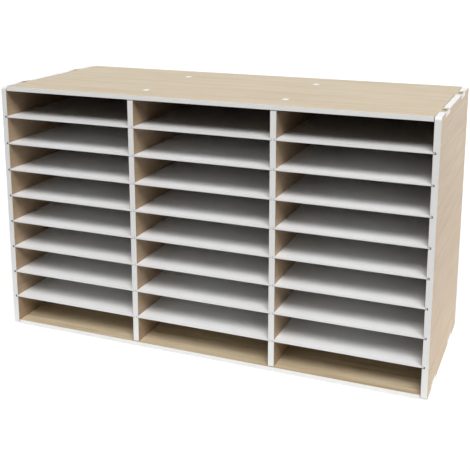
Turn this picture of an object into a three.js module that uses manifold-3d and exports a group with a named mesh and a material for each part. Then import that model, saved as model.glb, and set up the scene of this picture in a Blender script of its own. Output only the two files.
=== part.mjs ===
// Pigeonhole mail sorter: a slot-together cabinet of wood-faced boards with thin pull-out shelves.
// Millimetres, +Z up, front towards -Y, origin on the floor at the middle of the footprint.
import * as THREE from 'three';
import { mergeVertices } from 'three/addons/utils/BufferGeometryUtils.js';
import Module from 'manifold-3d';

const wasm = await Module();
wasm.setup();

// Pigeonholes
const COLUMN_NAMES = ['left', 'middle', 'right'];
const DIVIDER_NAMES = ['left', 'right'];
const ROWS = 9;
const OPENING_WIDTH = 240;
const OPENING_HEIGHT = 45;
const CABINET_DEPTH = 300;

// Board thicknesses
const SIDE_BOARD = 10;
const DIVIDER_BOARD = 10;
const LID_BOARD = 7.5;
const SHELF_BOARD = 3;
const BACK_BOARD = 3;

// Play between pieces: all round what fits into something, and where a board's shoulder meets a face
const FIT_GAP = 0.3;
const SHOULDER_GAP = 1.2;

// Tabs of the top and bottom boards, and tenons of the dividers, on the same two lines across the cabinet
const TAB_LENGTH = 38;
const TENON_LENGTH = 14;
const FRONT_JOINT_INSET = 60;
const REAR_JOINT_INSET = 71;

// Shelf grooves: depth in the sides, wood left between a divider's two grooves, and their empty ends
const SIDE_GROOVE = 4.6;
const DIVIDER_WEB = 2.8;
const SIDE_GROOVE_SPARE = 1.5;
const DIVIDER_GROOVE_SPARE = 0.3;
const FRONT_SETBACK = 1;

// Back board: how far it lies in from the rear edges, and how far its edges reach into their grooves
const BACK_INSET = 6;
const BACK_TONGUE = 3;

// Corners of the side boards
const FRONT_CORNER_RADIUS = 6;
const REAR_CORNER_RADIUS = 10;
const CORNER_SEGMENTS = 8;

// Countersunk screws through the tabs into the edges of the side boards
const SCREW_LENGTH = 30;
const SCREW_SHANK_RADIUS = 1.8;
const SCREW_HEAD_RADIUS = 4;
const SCREW_HEAD_RIM = 0.4;
const SCREW_POINT = 5;
const SCREW_SINK = 0.5;
const SCREW_SIDES = 24;
const RECESS_WIDTH = 1.1;
const RECESS_LENGTH = 4.4;
const RECESS_DEPTH = 1.5;

// How far a cutter runs past the face that it opens
const CUT_MARGIN = 1;

// Worked out from the sizes above
const COLUMNS = COLUMN_NAMES.length;
const SHELVES = ROWS - 1;
const CABINET_WIDTH = 2 * SIDE_BOARD + (COLUMNS - 1) * DIVIDER_BOARD + COLUMNS * OPENING_WIDTH;
const CABINET_HEIGHT = 2 * LID_BOARD + ROWS * OPENING_HEIGHT + SHELVES * SHELF_BOARD;
const FRONT_Y = -CABINET_DEPTH / 2;
const REAR_Y = CABINET_DEPTH / 2;
const OUTER_X = CABINET_WIDTH / 2;
const INNER_X = OUTER_X - SIDE_BOARD;
const FLOOR_Z = LID_BOARD;
const CEILING_Z = CABINET_HEIGHT - LID_BOARD;
const BACK_FACE_Y = REAR_Y - BACK_INSET - BACK_BOARD;
const SHELF_FRONT_Y = FRONT_Y + FRONT_SETBACK;
const SHELF_REAR_Y = BACK_FACE_Y - SHOULDER_GAP;
const JOINT_LINES = [FRONT_Y + FRONT_JOINT_INSET, REAR_Y - REAR_JOINT_INSET];
const DIVIDER_GROOVE = (DIVIDER_BOARD - DIVIDER_WEB) / 2;
const SIDE_INSERT = SIDE_GROOVE - SIDE_GROOVE_SPARE;
const DIVIDER_INSERT = DIVIDER_GROOVE - DIVIDER_GROOVE_SPARE;
const SCREW_X = INNER_X + SIDE_BOARD / 2;

// Finishes
const finish = (color, roughness, metalness) => (
  new THREE.MeshStandardMaterial({ color, roughness, metalness, flatShading: true })
);
const woodFace = finish(0xd6c8b1, 0.55, 0);
const whiteBoard = finish(0xe2e1de, 0.5, 0);
const hardboard = finish(0x8a6a4a, 0.8, 0);
const blackSteel = finish(0x2a2a2a, 0.45, 0.8);

// Intervals along an axis
const span = (a, b) => [Math.min(a, b), Math.max(a, b)];
const around = (centre, length) => [centre - length / 2, centre + length / 2];
const grown = ([low, high], gap) => [low - gap, high + gap];
const past = (edge, direction) => edge + direction * CUT_MARGIN;

// Places of the repeated pieces
const columnLeft = (column) => -INNER_X + column * (OPENING_WIDTH + DIVIDER_BOARD);
const dividerSpan = (index) => span(columnLeft(index) + OPENING_WIDTH, columnLeft(index + 1));
const shelfSpan = (number) => {
  const underside = CEILING_Z - number * (OPENING_HEIGHT + SHELF_BOARD);
  return [underside, underside + SHELF_BOARD];
};
const shelfNumbers = Array.from({ length: SHELVES }, (_, index) => index + 1);

// Solids for cutting and joining
function toSolid(geometry) {
  const bare = geometry.clone();
  bare.deleteAttribute('normal');
  bare.deleteAttribute('uv');
  const merged = mergeVertices(bare);
  return new wasm.Manifold(new wasm.Mesh({
    numProp: 3,
    vertProperties: Float32Array.from(merged.attributes.position.array),
    triVerts: Uint32Array.from(merged.index.array),
  }));
}

function toGeometry(solid) {
  const { vertProperties, triVerts } = solid.getMesh();
  const geometry = new THREE.BufferGeometry();
  geometry.setAttribute('position', new THREE.BufferAttribute(vertProperties, 3));
  geometry.setIndex(new THREE.BufferAttribute(triVerts, 1));
  geometry.computeVertexNormals();
  return geometry;
}

function boxGeometry(x, y, z) {
  const geometry = new THREE.BoxGeometry(x[1] - x[0], y[1] - y[0], z[1] - z[0]);
  return geometry.translate((x[0] + x[1]) / 2, (y[0] + y[1]) / 2, (z[0] + z[1]) / 2);
}

const box = (x, y, z) => toSolid(boxGeometry(x, y, z));
const cutAll = (solid, cutters) => cutters.reduce((rest, cutter) => rest.subtract(cutter), solid);
const joinAll = (solid, pieces) => pieces.reduce((whole, piece) => whole.add(piece), solid);

// Side boards, seen from the side as a sheet with small front corners and large rear ones
function sideOutline() {
  const small = FRONT_CORNER_RADIUS;
  const large = REAR_CORNER_RADIUS;
  const quarter = Math.PI / 2;
  const outline = new THREE.Shape();
  outline.absarc(REAR_Y - large, large, large, -quarter, 0);
  outline.absarc(REAR_Y - large, CABINET_HEIGHT - large, large, 0, quarter);
  outline.absarc(FRONT_Y + small, CABINET_HEIGHT - small, small, quarter, 2 * quarter);
  outline.absarc(FRONT_Y + small, small, small, 2 * quarter, 3 * quarter);
  return outline;
}

// The outline's own axes x, y and depth become Y, Z and X
function sheetFacingX(outline, x) {
  const sheet = new THREE.ExtrudeGeometry(outline, {
    depth: x[1] - x[0],
    bevelEnabled: false,
    curveSegments: CORNER_SEGMENTS,
  });
  const toYZX = new THREE.Matrix4().makeBasis(
    new THREE.Vector3(0, 1, 0),
    new THREE.Vector3(0, 0, 1),
    new THREE.Vector3(1, 0, 0),
  );
  return sheet.applyMatrix4(toYZX).translate(x[0], 0, 0);
}

// A countersunk screw with its head's top at z = 0. A gap all round and a rise above it make its hole.
function screwTurning(gap = 0, rise = 0) {
  const shank = SCREW_SHANK_RADIUS + gap;
  const head = SCREW_HEAD_RADIUS + gap;
  const coneTop = -SCREW_HEAD_RIM - gap;
  const coneFoot = coneTop - (SCREW_HEAD_RADIUS - SCREW_SHANK_RADIUS);
  const profile = [
    new THREE.Vector2(0, -SCREW_LENGTH - gap),
    new THREE.Vector2(shank, SCREW_POINT - SCREW_LENGTH - gap),
    new THREE.Vector2(shank, coneFoot),
    new THREE.Vector2(head, coneTop),
    new THREE.Vector2(head, rise),
    new THREE.Vector2(0, rise),
  ];
  return new THREE.LatheGeometry(profile, SCREW_SIDES).rotateX(Math.PI / 2);
}

function screwGeometry() {
  const depth = [-RECESS_DEPTH, CUT_MARGIN];
  const across = around(0, RECESS_LENGTH);
  const narrow = around(0, RECESS_WIDTH);
  const recess = [box(across, narrow, depth), box(narrow, across, depth)];
  return toGeometry(cutAll(toSolid(screwTurning()), recess));
}

// Every screw's place: head up in the top board, head down in the bottom board
const screwPlaces = [];
for (const [level, headZ, turn] of [
  ['top', CABINET_HEIGHT - SCREW_SINK, 0],
  ['bottom', SCREW_SINK, Math.PI],
]) {
  for (const [hand, x] of [['left', -SCREW_X], ['right', SCREW_X]]) {
    for (const [end, y] of [['front', JOINT_LINES[0]], ['rear', JOINT_LINES[1]]]) {
      screwPlaces.push({ name: `${level}_${hand}_${end}_screw`, x, y, headZ, turn });
    }
  }
}

function screwHole({ x, y, headZ, turn }) {
  const hole = screwTurning(FIT_GAP, SCREW_SINK + CUT_MARGIN);
  return toSolid(hole.rotateX(turn).translate(x, y, headZ));
}

function backGroove(x, z) {
  return box(x, grown([BACK_FACE_Y, BACK_FACE_Y + BACK_BOARD], FIT_GAP), z);
}

function sideBoard(hand) {
  const inner = hand * INNER_X;
  const through = span(past(inner, -hand), past(hand * OUTER_X, hand));
  const notches = JOINT_LINES.flatMap((line) => {
    const y = grown(around(line, TAB_LENGTH), FIT_GAP);
    return [
      box(through, y, [-CUT_MARGIN, FLOOR_Z + FIT_GAP]),
      box(through, y, [CEILING_Z - FIT_GAP, CABINET_HEIGHT + CUT_MARGIN]),
    ];
  });
  const shelfGrooves = shelfNumbers.map((number) => box(
    span(past(inner, -hand), inner + hand * SIDE_GROOVE),
    [past(FRONT_Y, -1), BACK_FACE_Y],
    grown(shelfSpan(number), FIT_GAP),
  ));
  const groove = backGroove(
    span(past(inner, -hand), inner + hand * (BACK_TONGUE + FIT_GAP)),
    grown([FLOOR_Z, CEILING_Z], BACK_TONGUE + FIT_GAP),
  );
  const holes = screwPlaces.filter(({ x }) => Math.sign(x) === hand).map(screwHole);
  const sheet = toSolid(sheetFacingX(sideOutline(), span(inner, hand * OUTER_X)));
  return toGeometry(cutAll(sheet, [...notches, ...shelfGrooves, groove, ...holes]));
}

// Top and bottom boards: a sheet between the sides, with tabs that reach through them
function lidBoard(level, inner, outward) {
  const z = span(inner, inner + outward * LID_BOARD);
  const grooveZ = span(past(inner, -outward), inner + outward * (BACK_TONGUE + FIT_GAP));
  const bodyX = INNER_X - SHOULDER_GAP;
  const body = box([-bodyX, bodyX], [FRONT_Y, REAR_Y], z);
  const tabs = JOINT_LINES.map((line) => box([-OUTER_X, OUTER_X], around(line, TAB_LENGTH), z));
  const slots = DIVIDER_NAMES.flatMap((_, index) => JOINT_LINES.map((line) => box(
    grown(dividerSpan(index), FIT_GAP),
    grown(around(line, TENON_LENGTH), FIT_GAP),
    grown(z, CUT_MARGIN),
  )));
  const groove = backGroove([-OUTER_X, OUTER_X], grooveZ);
  const holes = screwPlaces.filter(({ name }) => name.startsWith(level)).map(screwHole);
  return toGeometry(cutAll(joinAll(body, tabs), [...slots, groove, ...holes]));
}

function dividerBoard(index) {
  const [left, right] = dividerSpan(index);
  const shoulders = grown([FLOOR_Z, CEILING_Z], -SHOULDER_GAP);
  const body = box([left, right], [SHELF_FRONT_Y, SHELF_REAR_Y], shoulders);
  const tenons = JOINT_LINES.map((line) => box(
    [left, right],
    around(line, TENON_LENGTH),
    [0, CABINET_HEIGHT],
  ));
  const grooves = shelfNumbers.flatMap((number) => {
    const y = [past(SHELF_FRONT_Y, -1), past(SHELF_REAR_Y, 1)];
    const z = grown(shelfSpan(number), FIT_GAP);
    return [
      box([past(left, -1), left + DIVIDER_GROOVE], y, z),
      box([right - DIVIDER_GROOVE, past(right, 1)], y, z),
    ];
  });
  return toGeometry(cutAll(joinAll(body, tenons), grooves));
}

function backBoard() {
  return boxGeometry(
    grown([-INNER_X, INNER_X], BACK_TONGUE),
    [BACK_FACE_Y, BACK_FACE_Y + BACK_BOARD],
    grown([FLOOR_Z, CEILING_Z], BACK_TONGUE),
  );
}

// A column's shelves: one sheet, hung once at every level
function shelfColumn(column) {
  const leftInsert = column === 0 ? SIDE_INSERT : DIVIDER_INSERT;
  const rightInsert = column === COLUMNS - 1 ? SIDE_INSERT : DIVIDER_INSERT;
  const left = columnLeft(column) - leftInsert;
  const right = columnLeft(column) + OPENING_WIDTH + rightInsert;
  const middleX = (left + right) / 2;
  const middleY = (SHELF_FRONT_Y + SHELF_REAR_Y) / 2;
  const sheet = new THREE.BoxGeometry(right - left, SHELF_REAR_Y - SHELF_FRONT_Y, SHELF_BOARD);
  const shelves = new THREE.Group();
  for (const number of shelfNumbers) {
    const shelf = named(`${COLUMN_NAMES[column]}_shelf_${number}`, sheet, whiteBoard);
    shelf.position.set(middleX, middleY, shelfSpan(number)[0] + SHELF_BOARD / 2);
    shelves.add(shelf);
  }
  return shelves;
}

function named(name, geometry, material) {
  const mesh = new THREE.Mesh(geometry, material);
  mesh.name = name;
  return mesh;
}

// Carcass
const carcass = new THREE.Group();
carcass.add(
  named('left_side_board', sideBoard(-1), woodFace),
  named('right_side_board', sideBoard(1), woodFace),
  named('top_board', lidBoard('top', CEILING_Z, 1), woodFace),
  named('bottom_board', lidBoard('bottom', FLOOR_Z, -1), woodFace),
  named('back_board', backBoard(), hardboard),
);
DIVIDER_NAMES.forEach((name, index) => {
  carcass.add(named(`${name}_divider`, dividerBoard(index), woodFace));
});

const screw = screwGeometry();
for (const { name, x, y, headZ, turn } of screwPlaces) {
  const mesh = named(name, screw, blackSteel);
  mesh.position.set(x, y, headZ);
  mesh.rotation.x = turn;
  carcass.add(mesh);
}

const sorter = new THREE.Group();
sorter.add(carcass, ...COLUMN_NAMES.map((_, column) => shelfColumn(column)));

export default sorter;
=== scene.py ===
"""Finishes, light and camera for a pigeonhole mail sorter, in metres: +Z up, the front faces -Y."""
import math
from typing import NamedTuple

import bpy
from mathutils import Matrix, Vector


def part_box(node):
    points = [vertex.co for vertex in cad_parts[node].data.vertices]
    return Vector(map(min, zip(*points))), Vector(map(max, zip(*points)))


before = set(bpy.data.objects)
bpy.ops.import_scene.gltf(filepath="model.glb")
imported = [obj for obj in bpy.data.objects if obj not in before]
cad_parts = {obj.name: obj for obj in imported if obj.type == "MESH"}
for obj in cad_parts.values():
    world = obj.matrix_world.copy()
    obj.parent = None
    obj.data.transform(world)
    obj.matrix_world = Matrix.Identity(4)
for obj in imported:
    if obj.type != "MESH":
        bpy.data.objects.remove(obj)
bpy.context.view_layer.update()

AXES = "XYZ"
UNIT = (0.0, 1.0)
WHITE = (1.0, 1.0, 1.0, 1.0)

# The curve of screen colours: a straight line up to the knee and a power above it
FULL_CHANNEL = 255
KNEE = 0.04045
KNEE_SLOPE = 12.92
CURVE_LIFT = 0.055
CURVE_POWER = 2.4


def linear(red, green, blue):
    """A screen colour, 0 to 255, as the linear colour that a socket takes."""
    def channel(value):
        share = value / FULL_CHANNEL
        if share <= KNEE:
            return share / KNEE_SLOPE
        return ((share + CURVE_LIFT) / (1.0 + CURVE_LIFT)) ** CURVE_POWER
    return (channel(red), channel(green), channel(blue), 1.0)


class Noise(NamedTuple):
    """A noise: its waves to the metre, how many finer ones ride on them, and how strongly."""
    waves: tuple
    detail: float
    roughness: float = 0.5


def even(count):
    """The same number of waves along X, Y and Z."""
    return (count, count, count)


# Softened edges: their widths, and how near two points count as one, metres
BOARD_EDGE = 0.0004
SHELF_EDGE = 0.0003
EDGE_STEPS = 2
EDGE_ANGLE = math.radians(40)
SAME_POINT = 1e-6

# Where a board is faced: metres from its face, and how squarely the surface looks along the thickness
FACE_REACH = 0.00005
FACE_SQUARE = 0.9

# The heights of a board that hold all its shelf grooves, and the gap round a screw's head, metres
SHELVES_MIDDLE = 0.222
SHELVES_REACH = 0.19
HOLE_GAP = 0.0005

# The stretches of a noise's values that most tones and roughnesses run over
MIDDLE_VALUES = (0.3, 0.7)
CLOUD_VALUES = (0.35, 0.7)

# Wood-grain foil: pale, middle and deep tones, and the tints of single faces; inside the sorter and under the
# top these tints are painted shade
LID_TONES = (linear(210, 191, 159), linear(201, 181, 146), linear(185, 163, 126))
BASE_TONES = (linear(220, 205, 178), linear(207, 188, 157), linear(170, 145, 111))
UPRIGHT_TONES = (linear(208, 184, 151), linear(202, 176, 142), linear(190, 163, 127))
OUTER_TINT = (1.0, 0.965, 0.91, 1.0)
# Painted shade on the board faces inside the pigeonholes
INNER_PAINTED_SHADE = (0.80, 0.775, 0.80, 1.0)
# Painted shade on the top board's underside, darkening the top row of pigeonholes
UNDER_PAINTED_SHADE = (0.36, 0.40, 0.50, 1.0)

# The grain's noises, with waves along and across the grain, the values that show, and how far they darken
BROAD = Noise(waves=(1.4, 14.0), detail=2.0)
BROAD_VALUES = (0.40, 0.75)
BROAD_SHARE = (0.0, 0.35)
BANDS = Noise(waves=(3.2, 70.0), detail=3.0, roughness=0.55)
BAND_VALUES = (0.50, 0.70)
BAND_SHARE = (0.0, 0.65)
STREAKS = Noise(waves=(9.0, 240.0), detail=4.0, roughness=0.6)
STREAK_VALUES = (0.34, 0.66)
STREAK_HEIGHT = 0.5
PORES = Noise(waves=(24.0, 820.0), detail=1.0)
PORE_VALUES = (0.58, 0.70)
PORE_DARKENS = 0.55
FOIL_ROUGH = (0.32, 0.42)
BOARD_RELIEF = 0.00006

# White paint on the cut edges
CORE_PALE = linear(250, 250, 248)
CORE_DEEP = linear(246, 246, 243)
CORE_CLOUD = Noise(even(60.0), detail=3.0)
CORE_TOOTH = Noise(even(1500.0), detail=2.0)
CORE_ROUGH = (0.28, 0.36)
TOOTH_HEIGHT = 0.6

# Bare fibre in grooves and holes, toned dark as painted shade in these recesses
FIBRE_SHADE_PALE = linear(128, 104, 78)
FIBRE_SHADE_DEEP = linear(92, 72, 52)
FIBRE = Noise(even(700.0), detail=3.0, roughness=0.6)
FIBRE_ROUGH = (0.75, 0.9)

# White shelves, and their greyer undersides, which are painted shade
SHELF_PALE = linear(245, 245, 245)
SHELF_DEEP = linear(240, 240, 240)
SHELF_FLECK = linear(232, 232, 232)
UNDERSIDE_SHADE_PALE = linear(235, 235, 234)
UNDERSIDE_SHADE_DEEP = linear(228, 228, 226)
SHELF_CLOUD = Noise(even(9.0), detail=3.0)
SHELF_FLECKS = Noise(even(420.0), detail=2.0)
SHELF_FLECK_VALUES = (0.62, 0.78)
SHELF_FLECK_SHARE = (0.0, 0.25)
SHELF_PEEL = Noise(even(900.0), detail=1.0)
SHELF_ROUGH = (0.40, 0.50)
SHELF_RELIEF = 0.00003

# Brown hardboard, with flecks drawn out upwards
BROWN_PALE = linear(158, 124, 88)
BROWN_MIDDLE = linear(136, 102, 69)
BROWN_DEEP = linear(104, 76, 50)
BROWN_CLOUD = Noise(even(7.0), detail=4.0)
BROWN_CLOUD_VALUES = (0.35, 0.75)
BROWN_CLOUD_SHARE = (0.0, 0.4)
BROWN_FIBRE = Noise(even(260.0), detail=5.0, roughness=0.7)
BROWN_FLECKS = Noise(waves=(620.0, 620.0, 190.0), detail=1.0)
BROWN_FLECK_VALUES = (0.64, 0.74)
BROWN_FLECK_SHARE = (0.0, 0.6)
BROWN_ROUGH = (0.62, 0.78)
BROWN_RELIEF = 0.00008

# Blackened screws
SCREW_PALE = linear(50, 49, 48)
SCREW_DEEP = linear(30, 29, 29)
SCREW_CLOUD = Noise(even(700.0), detail=3.0)
SCREW_ROUGH = (0.36, 0.56)
SCREW_METALLIC = 0.85
SCREW_RELIEF = 0.00003

# The floor's half width, the share of light that it shows, and its glow near by, which is white farther off
FLOOR_REACH = 20.0
FLOOR_SEEN = 0.28
FLOOR_GLOW = 0.785
FLOOR_SHADE_REACH = 0.9
FLOOR_WHITE_FROM = 2.4

# What the floor throws back at the object: most within an oval round its foot and little beyond, metres
FLOOR_OVAL = (0.4, 1.0, 1.0)
BOUNCE_NEAR = 0.75
BOUNCE_FAR = 0.10
BOUNCE_FULL_TO = 0.20
BOUNCE_FADED_FROM = 0.60

# The light from all round, and the point that the lamps look at
WORLD_LIGHT = 0.02
LAMP_TARGET = Vector((0.0, 0.0, 0.22))

# The camera, fitted to the board edges in the photograph
CAMERA_PLACE = Vector((0.5557, -1.3665, 0.6743))
CAMERA_TURN = math.radians(22.088)
CAMERA_DIP = math.radians(12.522)
FRAME_PIXELS = 470
FOCAL_PIXELS = 853.6
SENSOR_WIDTH = 36.0
CAMERA_SHIFT = -0.2

# A Mix node's sockets for colours, by number because their names repeat
MIX_SHARE = 0
MIX_FIRST = 6
MIX_SECOND = 7
MIX_RESULT = 2


# Node helpers


def node(tree, kind, inputs=None, **settings):
    """A new node. Settings are its properties, inputs its sockets by name or number, as values or links."""
    made = tree.nodes.new(kind)
    for key, value in settings.items():
        setattr(made, key, value)
    for key, value in (inputs or {}).items():
        if isinstance(value, bpy.types.NodeSocket):
            tree.links.new(value, made.inputs[key])
        else:
            made.inputs[key].default_value = value
    return made


def maths(tree, operation, first, second=0.0, third=0.0, clamp=False):
    """One step of arithmetic on links or numbers."""
    inputs = {0: first, 1: second, 2: third}
    return node(tree, "ShaderNodeMath", inputs, operation=operation, use_clamp=clamp).outputs[0]


def vector_maths(tree, operation, *inputs):
    """One step of arithmetic on vectors, with all the node's outputs."""
    return node(tree, "ShaderNodeVectorMath", dict(enumerate(inputs)), operation=operation).outputs


def blend(tree, share, first, second, mode="MIX"):
    """Colour first at a share of 0 and second at 1, or another mode's mixture of the two."""
    inputs = {MIX_SHARE: share, MIX_FIRST: first, MIX_SECOND: second}
    return node(tree, "ShaderNodeMix", inputs, data_type="RGBA", blend_type=mode).outputs[MIX_RESULT]


def between(tree, value, stretch, ends=UNIT):
    """The value's stretch, from low to high, drawn out to the two ends."""
    low, high = stretch
    start, end = ends
    inputs = {"Value": value, "From Min": low, "From Max": high, "To Min": start, "To Max": end}
    return node(tree, "ShaderNodeMapRange", inputs).outputs["Result"]


def noise(tree, coords, kind):
    """A noise's values, about 0.5 on average."""
    spread = vector_maths(tree, "MULTIPLY", coords, kind.waves)[0]
    inputs = {"Vector": spread, "Scale": 1.0, "Detail": kind.detail, "Roughness": kind.roughness}
    return node(tree, "ShaderNodeTexNoise", inputs).outputs["Fac"]


def looks_along(tree, look):
    """1 where a surface faces squarely along the axis of this part of its normal, either way."""
    return maths(tree, "GREATER_THAN", maths(tree, "ABSOLUTE", look), FACE_SQUARE)


def new_material(name):
    """A material with its shader and output joined, and a node for the places on it."""
    material = bpy.data.materials.new(name)
    material.use_nodes = True
    tree = material.node_tree
    tree.nodes.clear()
    shader = node(tree, "ShaderNodeBsdfPrincipled")
    node(tree, "ShaderNodeOutputMaterial", {"Surface": shader.outputs[0]})
    coords = node(tree, "ShaderNodeTexCoord")
    return material, tree, shader, coords


def set_surface(tree, shader, colour, roughness, height, relief):
    """Joins a finish to its shader; relief is the height's full depth in metres."""
    bump = node(tree, "ShaderNodeBump", {"Height": height, "Distance": relief, "Strength": 1.0})
    for socket, value in (("Base Color", colour), ("Roughness", roughness), ("Normal", bump.outputs[0])):
        tree.links.new(value, shader.inputs[socket])


# Finishes


def wood_foil(tree, coords, grain, tones):
    """Printed wood grain along one axis: its colour, roughness and height."""
    def grain_noise(kind):
        lengthwise, across = kind.waves
        waves = tuple(lengthwise if axis == grain else across for axis in AXES)
        return noise(tree, coords, kind._replace(waves=waves))
    broad = grain_noise(BROAD)
    bands = grain_noise(BANDS)
    streaks = grain_noise(STREAKS)
    pores = grain_noise(PORES)
    pale, middle, deep = tones
    tone = blend(tree, between(tree, streaks, STREAK_VALUES), pale, middle)
    tone = blend(tree, between(tree, bands, BAND_VALUES, BAND_SHARE), tone, deep)
    tone = blend(tree, between(tree, broad, BROAD_VALUES, BROAD_SHARE), tone, deep)
    pore_share = between(tree, pores, PORE_VALUES)
    tone = blend(tree, maths(tree, "MULTIPLY", pore_share, PORE_DARKENS), tone, deep)
    rough = between(tree, streaks, MIDDLE_VALUES, FOIL_ROUGH)
    height = maths(tree, "SUBTRACT", maths(tree, "MULTIPLY", streaks, STREAK_HEIGHT), pore_share)
    return tone, rough, height


def white_core(tree, coords):
    """Painted fibreboard edge: almost plain, with the faint tooth of a sawn and sealed edge."""
    cloud = noise(tree, coords, CORE_CLOUD)
    tooth = noise(tree, coords, CORE_TOOTH)
    tone = blend(tree, between(tree, cloud, CLOUD_VALUES), CORE_PALE, CORE_DEEP)
    rough = between(tree, cloud, MIDDLE_VALUES, CORE_ROUGH)
    return tone, rough, maths(tree, "MULTIPLY", tooth, TOOTH_HEIGHT)


def shaded_bare_fibre(tree, coords):
    """Fibreboard as the saw leaves it, inside the grooves: brown and dull, and dark as painted shade in these
    recesses.
    """
    fibre = noise(tree, coords, FIBRE)
    tone = blend(tree, fibre, FIBRE_SHADE_PALE, FIBRE_SHADE_DEEP)
    rough = between(tree, fibre, MIDDLE_VALUES, FIBRE_ROUGH)
    return tone, rough, fibre


def thickness_of(name):
    """A board's thin axis and the places of its two faces on it."""
    low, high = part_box(name)
    sizes = high - low
    thin = min(range(len(AXES)), key=lambda axis: sizes[axis])
    return thin, low[thin], high[thin]


def in_screw_holes(tree, places):
    """1 within a screw hole's reach of its axis. The screws stand on two lines and mirror about X = 0."""
    boxes = [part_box(f"top_right_{end}_screw") for end in ("front", "rear")]
    axes = [(low + high) / 2 for low, high in boxes]
    low, high = boxes[0]
    reach = (high.x - low.x) / 2 + HOLE_GAP
    aside = maths(tree, "SUBTRACT", maths(tree, "ABSOLUTE", places["X"]), axes[0].x)
    along = [maths(tree, "ABSOLUTE", maths(tree, "SUBTRACT", places["Y"], axis.y)) for axis in axes]
    ahead = maths(tree, "MINIMUM", *along)
    away = node(tree, "ShaderNodeCombineXYZ", {"X": aside, "Y": ahead}).outputs[0]
    distance = vector_maths(tree, "LENGTH", away)["Value"]
    return maths(tree, "LESS_THAN", distance, reach)


def faced_board(name, grain, tones, tint_and_shade_low, tint_and_shade_high):
    """Foil on a board's two wide faces, white paint on its cut edges and tab ends, and bare fibre in its
    grooves and screw holes, dark as painted shade there. The tints are those of the faces at the low and the
    high end of the thickness;
    faces inside the sorter and under the top take painted shade through them."""
    material, tree, shader, coords = new_material(name + "_finish")
    thin, low, high = thickness_of(name)
    spot = coords.outputs["Object"]
    places = node(tree, "ShaderNodeSeparateXYZ", {0: spot}).outputs
    looks = node(tree, "ShaderNodeSeparateXYZ", {0: coords.outputs["Normal"]}).outputs
    square = looks_along(tree, looks[thin])
    on_low = maths(tree, "COMPARE", places[thin], low, FACE_REACH)
    on_high = maths(tree, "COMPARE", places[thin], high, FACE_REACH)
    on_face = maths(tree, "ADD", on_low, on_high)
    faced = maths(tree, "MULTIPLY", square, on_face)
    # Groove floors and walls and screw holes get dark bare fibre, partly painted shade in these recesses
    floor_of_groove = maths(tree, "SUBTRACT", square, on_face, clamp=True)
    at_shelves = maths(tree, "COMPARE", places["Z"], SHELVES_MIDDLE, SHELVES_REACH)
    wall_of_groove = maths(tree, "MULTIPLY", looks_along(tree, looks["Z"]), at_shelves)
    bare_and_shaded = maths(tree, "MAXIMUM", floor_of_groove, wall_of_groove)
    bare_and_shaded = maths(tree, "MAXIMUM", bare_and_shaded, in_screw_holes(tree, places))
    wood, wood_rough, wood_height = wood_foil(tree, spot, grain, tones)
    # Each face's tint multiplies the grain; inner faces and the top's underside get painted shade here
    wood = blend(tree, 1.0, wood, blend(tree, on_high, tint_and_shade_low, tint_and_shade_high), "MULTIPLY")
    core, core_rough, core_height = white_core(tree, spot)
    fibre, fibre_rough, fibre_height = shaded_bare_fibre(tree, spot)
    tone = blend(tree, faced, blend(tree, bare_and_shaded, core, fibre), wood)
    rough = between(tree, bare_and_shaded, UNIT, (core_rough, fibre_rough))
    height = between(tree, bare_and_shaded, UNIT, (core_height, fibre_height))
    rough = between(tree, faced, UNIT, (rough, wood_rough))
    height = between(tree, faced, UNIT, (height, wood_height))
    set_surface(tree, shader, tone, rough, height, BOARD_RELIEF)
    return material


def white_shelf():
    """Thin white-painted hardboard: faint clouding, a fine orange-peel surface and a greyer underside as
    painted shade.
    """
    material, tree, shader, coords = new_material("shelf_finish")
    spot = coords.outputs["Object"]
    cloud = noise(tree, spot, SHELF_CLOUD)
    fleck = noise(tree, spot, SHELF_FLECKS)
    peel = noise(tree, spot, SHELF_PEEL)
    tone = blend(tree, between(tree, cloud, CLOUD_VALUES), SHELF_PALE, SHELF_DEEP)
    tone = blend(tree, between(tree, fleck, SHELF_FLECK_VALUES, SHELF_FLECK_SHARE), tone, SHELF_FLECK)
    look = node(tree, "ShaderNodeSeparateXYZ", {0: coords.outputs["Normal"]}).outputs["Z"]
    # Undersides are greyed: painted shade beneath each shelf
    below = maths(tree, "LESS_THAN", look, -FACE_SQUARE)
    underside_shade = blend(tree, between(tree, fleck, MIDDLE_VALUES), UNDERSIDE_SHADE_PALE, UNDERSIDE_SHADE_DEEP)
    tone = blend(tree, below, tone, underside_shade)
    rough = between(tree, cloud, MIDDLE_VALUES, SHELF_ROUGH)
    set_surface(tree, shader, tone, rough, peel, SHELF_RELIEF)
    return material


def hardboard_back():
    """Bare brown hardboard: fine matted fibre with darker flecks."""
    material, tree, shader, coords = new_material("back_board_finish")
    spot = coords.outputs["Object"]
    cloud = noise(tree, spot, BROWN_CLOUD)
    fibre = noise(tree, spot, BROWN_FIBRE)
    fleck = noise(tree, spot, BROWN_FLECKS)
    tone = blend(tree, between(tree, fibre, MIDDLE_VALUES), BROWN_PALE, BROWN_MIDDLE)
    tone = blend(tree, between(tree, cloud, BROWN_CLOUD_VALUES, BROWN_CLOUD_SHARE), tone, BROWN_DEEP)
    tone = blend(tree, between(tree, fleck, BROWN_FLECK_VALUES, BROWN_FLECK_SHARE), tone, BROWN_DEEP)
    rough = between(tree, fibre, MIDDLE_VALUES, BROWN_ROUGH)
    set_surface(tree, shader, tone, rough, fibre, BROWN_RELIEF)
    return material


def black_screw():
    """Blackened steel with a slightly uneven sheen."""
    material, tree, shader, coords = new_material("screw_finish")
    cloud = noise(tree, coords.outputs["Object"], SCREW_CLOUD)
    tone = blend(tree, cloud, SCREW_PALE, SCREW_DEEP)
    rough = between(tree, cloud, MIDDLE_VALUES, SCREW_ROUGH)
    shader.inputs["Metallic"].default_value = SCREW_METALLIC
    set_surface(tree, shader, tone, rough, cloud, SCREW_RELIEF)
    return material


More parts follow.
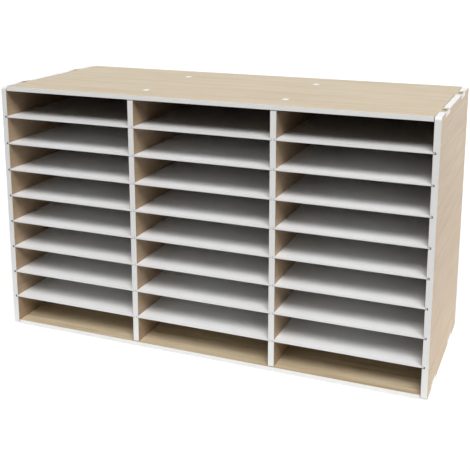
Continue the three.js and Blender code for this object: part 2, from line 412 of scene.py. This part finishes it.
def dress(name, material, edge):
    """Gives a CAD node its finish and, where edge isn't 0, slightly softened edges."""
    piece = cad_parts[name]
    piece.data.materials.clear()
    piece.data.materials.append(material)
    if edge:
        weld = piece.modifiers.new("Weld", "WELD")
        weld.merge_threshold = SAME_POINT
        bevel = piece.modifiers.new("Edges", "BEVEL")
        bevel.width = edge
        bevel.segments = EDGE_STEPS
        bevel.limit_method = "ANGLE"
        bevel.angle_limit = EDGE_ANGLE


shelf_finish = white_shelf()
screw_finish = black_screw()
# Tints per face: the inner and under ones paint shade onto faces inside the sorter and under the top
for board, grain, tones, tint_and_shade_low, tint_and_shade_high in (
        ("left_side_board", "Y", UPRIGHT_TONES, OUTER_TINT, INNER_PAINTED_SHADE),
        ("right_side_board", "Y", UPRIGHT_TONES, INNER_PAINTED_SHADE, OUTER_TINT),
        ("left_divider", "Y", UPRIGHT_TONES, INNER_PAINTED_SHADE, INNER_PAINTED_SHADE),
        ("right_divider", "Y", UPRIGHT_TONES, INNER_PAINTED_SHADE, INNER_PAINTED_SHADE),
        ("top_board", "X", LID_TONES, UNDER_PAINTED_SHADE, WHITE),
        ("bottom_board", "X", BASE_TONES, WHITE, WHITE)):
    dress(board, faced_board(board, grain, tones, tint_and_shade_low, tint_and_shade_high), BOARD_EDGE)
dress("back_board", hardboard_back(), SHELF_EDGE)
for piece_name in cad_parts:
    if "_shelf_" in piece_name:
        dress(piece_name, shelf_finish, SHELF_EDGE)
    elif piece_name.endswith("_screw"):
        dress(piece_name, screw_finish, 0)


# Floor, world and lamps


def seen_directly(tree):
    """1 for what the camera sees, also in gloss and through glass, and 0 for light on the object."""
    rays = node(tree, "ShaderNodeLightPath").outputs
    pair = maths(tree, "ADD", rays["Is Camera Ray"], rays["Is Glossy Ray"])
    return maths(tree, "ADD", pair, rays["Is Transmission Ray"], clamp=True)


def white_floor():
    """A wide floor that is white to look at, keeps a soft shadow and throws light up at the object's foot."""
    material = bpy.data.materials.new("floor")
    material.use_nodes = True
    tree = material.node_tree
    tree.nodes.clear()
    spot = node(tree, "ShaderNodeTexCoord").outputs["Object"]
    oval = vector_maths(tree, "MULTIPLY", spot, FLOOR_OVAL)[0]
    beside = vector_maths(tree, "LENGTH", oval)["Value"]
    bounce = between(tree, beside, (BOUNCE_FULL_TO, BOUNCE_FADED_FROM), (BOUNCE_NEAR, BOUNCE_FAR))
    seen = seen_directly(tree)
    diffuse = node(tree, "ShaderNodeBsdfDiffuse", {"Color": between(tree, seen, UNIT, (bounce, FLOOR_SEEN))})
    away = vector_maths(tree, "LENGTH", spot)["Value"]
    level = between(tree, away, (FLOOR_SHADE_REACH, FLOOR_WHITE_FROM), (FLOOR_GLOW, 1.0))
    glow = node(tree, "ShaderNodeEmission", {"Strength": maths(tree, "MULTIPLY", seen, level)})
    both = node(tree, "ShaderNodeAddShader", {0: diffuse.outputs[0], 1: glow.outputs[0]})
    node(tree, "ShaderNodeOutputMaterial", {"Surface": both.outputs[0]})
    mesh = bpy.data.meshes.new("floor")
    corners = [(x * FLOOR_REACH, y * FLOOR_REACH, 0.0) for x, y in ((-1, -1), (1, -1), (1, 1), (-1, 1))]
    mesh.from_pydata(corners, [], [tuple(range(len(corners)))])
    mesh.materials.append(material)
    floor = bpy.data.objects.new("floor", mesh)
    bpy.context.scene.collection.objects.link(floor)


def pale_world():
    """White to look at, and a faint light from all round."""
    world = bpy.data.worlds.new("world")
    world.use_nodes = True
    tree = world.node_tree
    tree.nodes.clear()
    strength = between(tree, seen_directly(tree), UNIT, (WORLD_LIGHT, 1.0))
    sky = node(tree, "ShaderNodeBackground", {"Color": WHITE, "Strength": strength})
    node(tree, "ShaderNodeOutputWorld", {"Surface": sky.outputs[0]})
    bpy.context.scene.world = world


def toward(turn, height):
    """The direction that is turned so far to the right from the front, and so far up, in radians."""
    level = math.cos(height)
    return Vector((math.sin(turn) * level, -math.cos(turn) * level, math.sin(height)))


def lamp(name, turn, height, distance, sizes, level, gloss=True):
    """A soft box so wide and high, turned to the right from the front and raised, in degrees. At a level of
    1, white paper that faces it renders white. Without gloss it leaves no highlight of its own."""
    away = toward(math.radians(turn), math.radians(height))
    light = bpy.data.lights.new(name, "AREA")
    light.shape = "RECTANGLE"
    light.size, light.size_y = sizes
    light.energy = level * (math.pi * distance) ** 2
    obj = bpy.data.objects.new(name, light)
    obj.location = LAMP_TARGET + away * distance
    obj.rotation_euler = away.to_track_quat("Z", "Y").to_euler()
    obj.visible_camera = False
    obj.visible_glossy = gloss
    bpy.context.scene.collection.objects.link(obj)


white_floor()
pale_world()
lamp("key", turn=27.0, height=50.5, distance=8.0, sizes=(4.7, 3.6), level=1.05)
lamp("right_fill", turn=102.0, height=6.0, distance=2.6, sizes=(1.2, 1.2), level=0.23)
lamp("rear_fill", turn=195.0, height=6.0, distance=2.8, sizes=(1.6, 1.6), level=0.60, gloss=False)
lamp("left_fill", turn=-102.0, height=6.0, distance=2.8, sizes=(1.2, 1.2), level=0.45, gloss=False)


# Camera


def add_camera():
    """The photograph's camera: it stands to the right of the front and looks down at the sorter."""
    camera = bpy.data.cameras.new("camera")
    camera.sensor_width = SENSOR_WIDTH
    camera.lens = FOCAL_PIXELS * SENSOR_WIDTH / FRAME_PIXELS
    camera.shift_y = CAMERA_SHIFT
    obj = bpy.data.objects.new("camera", camera)
    obj.location = CAMERA_PLACE
    obj.rotation_euler = toward(CAMERA_TURN, CAMERA_DIP).to_track_quat("Z", "Y").to_euler()
    bpy.context.scene.collection.objects.link(obj)
    bpy.context.scene.camera = obj


add_camera()
bpy.context.scene.view_settings.view_transform = "Standard"
